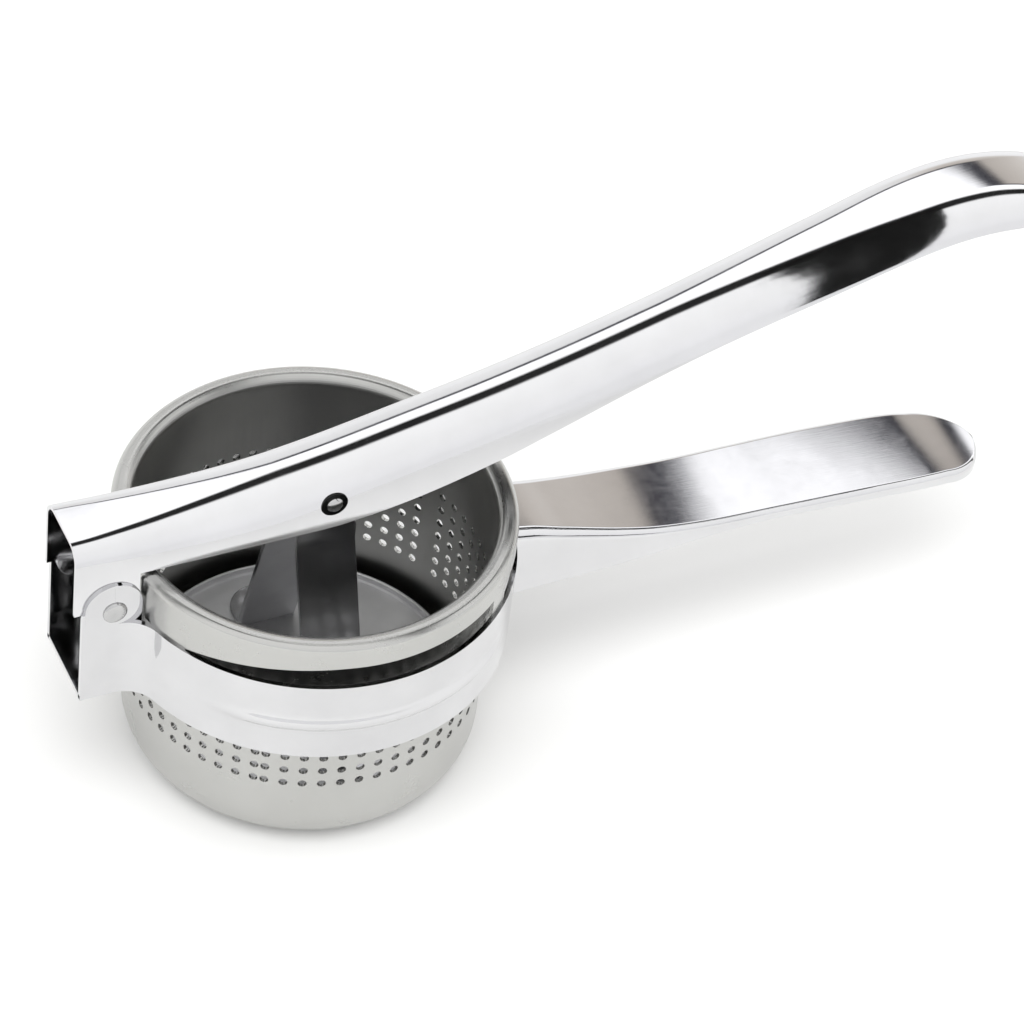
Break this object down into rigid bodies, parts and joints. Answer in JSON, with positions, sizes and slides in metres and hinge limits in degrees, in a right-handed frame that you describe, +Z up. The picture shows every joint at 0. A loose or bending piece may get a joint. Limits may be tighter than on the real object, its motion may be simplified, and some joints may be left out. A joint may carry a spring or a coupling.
{
  "type": "potato ricer",
  "caption": "Hand potato ricer: a perforated cup hangs in a ring frame with a grip, and a hinged lever handle pushes a round presser down inside the cup.",
  "frame": {"origin": "middle of the basket's flat underside", "axes": "+Z up the basket's axis, +X from the hinge towards the grips"},
  "size_m": [0.2434, 0.0928, 0.1226],
  "materials": {
    "polished_steel": "mirror-polished pressed stainless sheet",
    "satin_steel": "semi-bright drawn stainless sheet",
    "rivet_steel": "tumbled steel rivet"
  },
  "bodies": {
    "frame": {"ring_frame": "polished_steel", "basket": "satin_steel", "lower_handle": "polished_steel", "hinge_rivet": "rivet_steel"},
    "lever": {"upper_handle": "polished_steel", "plunger_rivet": "rivet_steel"},
    "presser": {"presser_plate": "satin_steel", "presser_bracket": "polished_steel", "bracket_rivets": "rivet_steel"}
  },
  "joints": [
    {"name": "handle_hinge", "type": "hinge", "parent": "frame", "child": "lever", "pos_m": [-0.0506, 0, 0.0611], "axis": [0, -1, 0], "range_deg": [0, 55]},
    {"name": "presser_swing", "type": "hinge", "parent": "lever", "child": "presser", "pos_m": [0, 0, 0.0765], "axis": [0, -1, 0], "range_deg": [-28.5, 0]}
  ],
  "couplings": [
    {"joint": "presser_swing", "follows": "handle_hinge", "ratio": -0.515}
  ]
}
